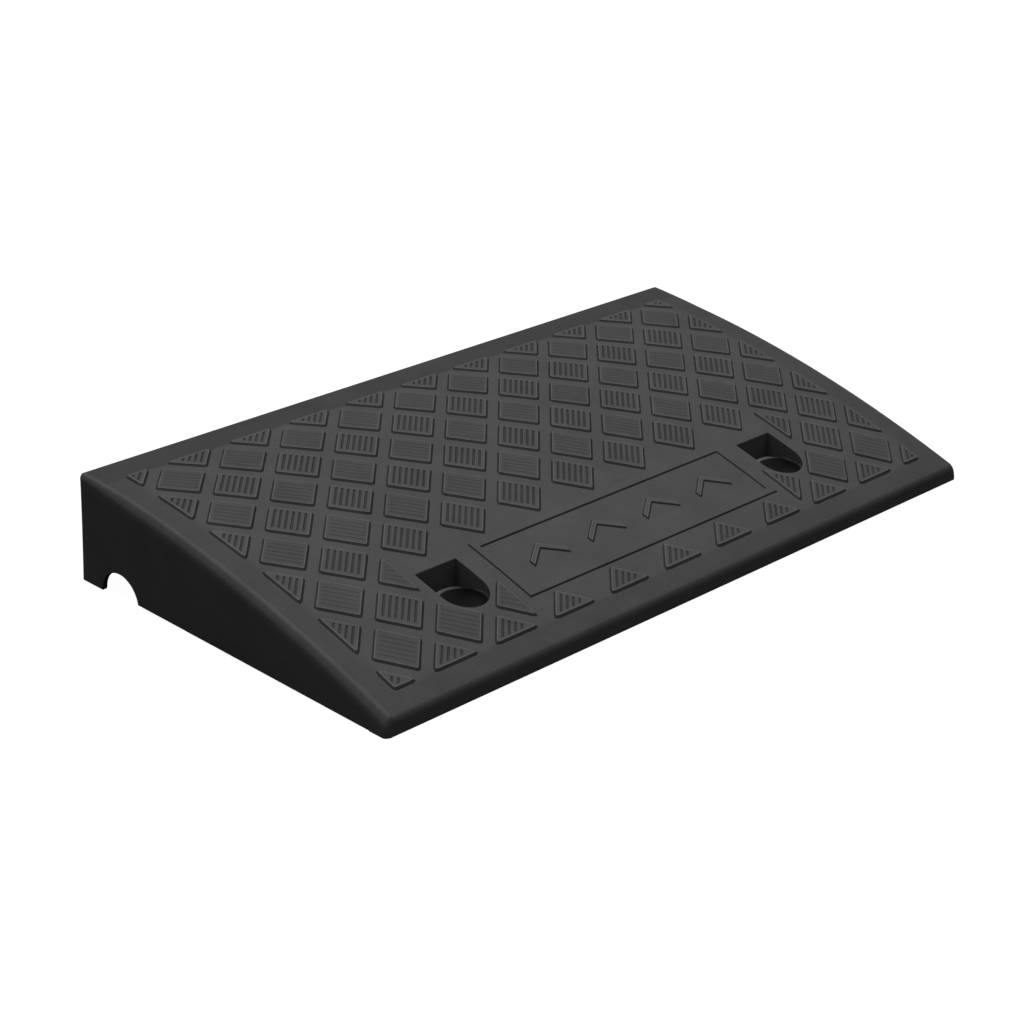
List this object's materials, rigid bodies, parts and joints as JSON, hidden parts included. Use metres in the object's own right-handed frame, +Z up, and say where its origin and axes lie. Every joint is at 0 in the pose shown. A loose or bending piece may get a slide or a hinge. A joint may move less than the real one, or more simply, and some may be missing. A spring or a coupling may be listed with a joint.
{
  "type": "curb ramp",
  "caption": "Moulded wedge ramp for a kerb, with a bowed deck of raised square tread pads, D-shaped bolt pockets, a cable channel and a ribbed underside.",
  "frame": {"origin": "on the ground, under the middle of the ramp's length and depth", "axes": "+X along the kerb, +Y up the slope from the nose to the kerb face, +Z up"},
  "size_m": [0.5, 0.267, 0.0684],
  "materials": {
    "deck_black": "fine matt grain, black polypropylene",
    "wall_black": "fine matt grain, black polypropylene",
    "rib_black": "plain matt, black polypropylene"
  },
  "bodies": {
    "root": {"deck_plate": "deck_black", "left_side_wall": "wall_black", "right_side_wall": "wall_black", "left_side_heel": "wall_black", "right_side_heel": "wall_black", "back_wall": "wall_black", "left_bolt_well": "rib_black", "right_bolt_well": "rib_black", "lengthwise_rib_01": "rib_black", "lengthwise_rib_02": "rib_black", "lengthwise_rib_03": "rib_black", "lengthwise_rib_04": "rib_black", "lengthwise_rib_05": "rib_black", "lengthwise_rib_06": "rib_black", "lengthwise_rib_07": "rib_black", "lengthwise_rib_08": "rib_black", "lengthwise_rib_09": "rib_black", "lengthwise_rib_10": "rib_black", "crosswise_rib_1": "rib_black", "crosswise_rib_2": "rib_black", "crosswise_rib_3": "rib_black", "crosswise_rib_4": "rib_black", "crosswise_rib_5": "rib_black"}
  },
  "joints": []
}
